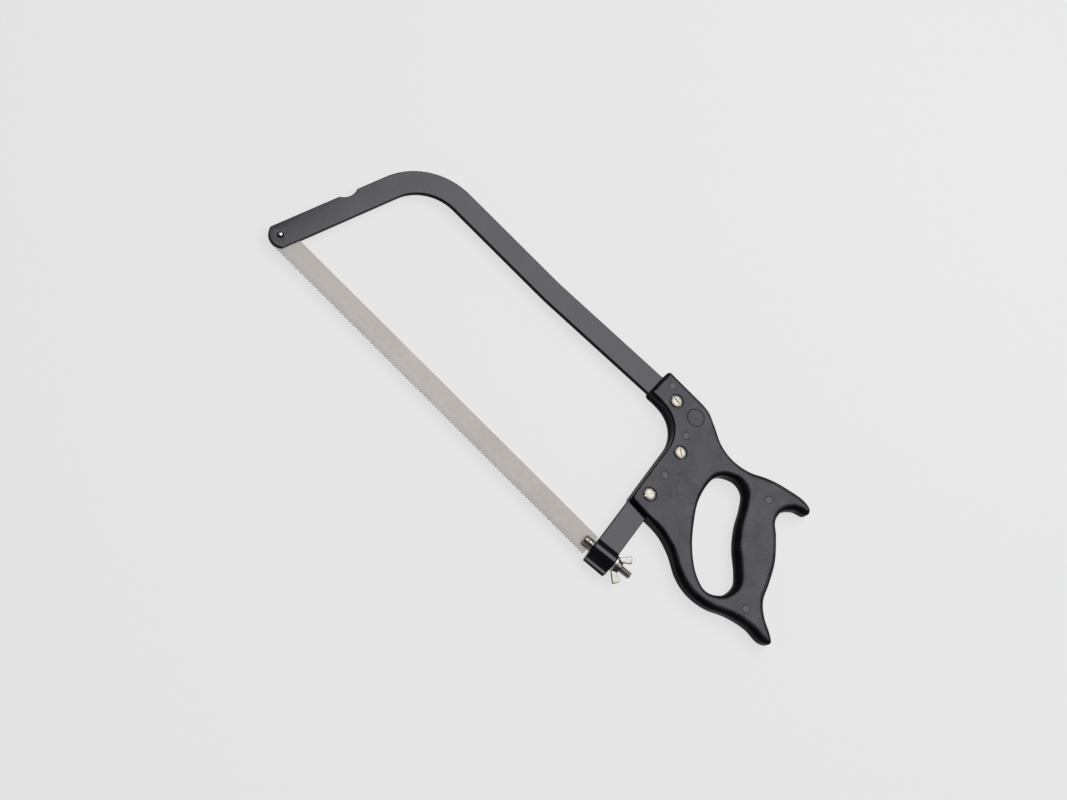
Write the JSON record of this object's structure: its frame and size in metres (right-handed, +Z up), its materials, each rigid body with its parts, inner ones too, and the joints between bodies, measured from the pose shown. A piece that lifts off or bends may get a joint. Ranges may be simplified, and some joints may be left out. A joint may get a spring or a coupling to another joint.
{
  "type": "butcher saw",
  "caption": "Butcher saw with a black bowed steel frame, a toothed steel blade, a moulded black pistol-grip handle and a wing nut that tightens the blade",
  "frame": {"origin": "under the middle of the saw's box, on the plane that the back of the handle rests on", "axes": "+X along the blade from the toe to the handle, +Y from the teeth to the back of the bow, +Z up out of the side that shows"},
  "size_m": [0.608, 0.205, 0.0214],
  "materials": {
    "frame_paint": "satin black paint",
    "handle_plastic": "fine moulded satin",
    "blade_steel": "rolled satin",
    "bolt_steel": "turned, slightly dulled",
    "nickel": "bright nickel plate",
    "zinc": "pale zinc plate"
  },
  "bodies": {
    "bow": {"frame": "frame_paint", "handle": "handle_plastic", "handle_screw_1": "nickel", "handle_screw_2": "nickel", "handle_screw_3": "nickel", "handle_nut_1": "nickel", "handle_nut_2": "nickel", "handle_nut_3": "nickel", "toe_pin": "nickel", "washer": "zinc"},
    "nut": {"wing_nut": "nickel"},
    "drawn": {"draw_bolt": "bolt_steel", "tail_pin": "zinc", "blade": "blade_steel"}
  },
  "joints": [
    {"name": "wing_nut_turn", "type": "hinge", "parent": "bow", "child": "nut", "pos_m": [0.14532, -0.0835, 0.01], "axis": [0.9936, 0.1132, 0], "range_deg": [0, 721]},
    {"name": "blade_draw", "type": "slide", "parent": "bow", "child": "drawn", "axis": [0.9936, 0.1132, 0], "range_m": [-0.0025, 0]}
  ],
  "couplings": [
    {"joint": "wing_nut_turn", "follows": "blade_draw", "rad_per_m": -5026.6}
  ]
}
